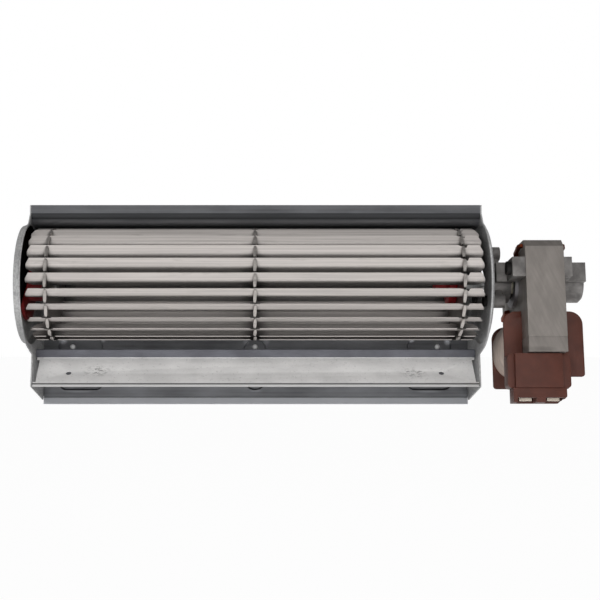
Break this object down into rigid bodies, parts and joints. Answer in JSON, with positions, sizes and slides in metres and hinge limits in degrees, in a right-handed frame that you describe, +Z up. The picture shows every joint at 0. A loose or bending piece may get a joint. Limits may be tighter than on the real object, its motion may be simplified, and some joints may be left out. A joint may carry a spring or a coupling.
{
  "type": "cross flow fan",
  "caption": "Cross flow fan: a long bladed impeller in a folded sheet scroll, driven by a shaded pole motor on one end plate.",
  "frame": {"origin": "middle of the three rear pad holes, on the pads' rear face", "axes": "+X along the impeller towards the motor, +Y out of the rear pads, +Z up, away from the outlet"},
  "size_m": [0.3014, 0.0763, 0.1112],
  "materials": {
    "galvanised_sheet": "aluminised steel sheet, folded",
    "bright_sheet": "bright zinc coated sheet",
    "blade_aluminium": "rolled strip, mill finish",
    "disc_aluminium": "stamped disc, crimped rim",
    "red_silicone": "moulded silicone rubber",
    "shaft_steel": "ground bar",
    "sintered_bronze": "sintered and oiled",
    "lamination_steel": "stack of stamped laminations, ground edges",
    "rotor_aluminium": "cast end rings",
    "cast_zinc": "die cast zinc alloy",
    "brown_thermoset": "moulded, heat resistant",
    "coil_tape": "woven glass tape",
    "enamelled_copper": "enamelled wire",
    "bare_copper": "bare copper bar",
    "tinned_brass": "tinned blade terminals",
    "zinc_plated_steel": "zinc plated fasteners",
    "spacer_nylon": "turned spacer bush"
  },
  "bodies": {
    "housing": {"scroll_housing": "galvanised_sheet", "tongue_bracket": "bright_sheet", "end_plate_left": "galvanised_sheet", "end_plate_right": "galvanised_sheet", "left_bush": "sintered_bronze", "left_bearing_holder": "red_silicone", "stator_core": "lamination_steel", "stator_limb": "lamination_steel", "bobbin": "brown_thermoset", "coil_winding": "enamelled_copper", "coil_tape": "coil_tape", "terminal_shroud": "brown_thermoset", "terminal_tabs": "tinned_brass", "shading_rings": "bare_copper", "front_bearing_bracket": "cast_zinc", "rear_bearing_bracket": "cast_zinc", "front_bush": "sintered_bronze", "rear_bush": "sintered_bronze", "stator_screws": "zinc_plated_steel", "motor_mount_screws": "zinc_plated_steel"},
    "impeller": {"impeller_blades": "blade_aluminium", "impeller_disc_left": "disc_aluminium", "impeller_disc_middle": "disc_aluminium", "impeller_disc_right": "disc_aluminium", "stub_shaft": "shaft_steel", "impeller_hub": "red_silicone", "motor_shaft": "shaft_steel", "rotor_core": "lamination_steel", "rotor_end_rings": "rotor_aluminium", "rotor_spacers": "spacer_nylon"}
  },
  "joints": [
    {"name": "impeller_spin", "type": "hinge", "parent": "housing", "child": "impeller", "pos_m": [0, -0.0383, 0.0354], "axis": [1, 0, 0], "continuous": true}
  ]
}
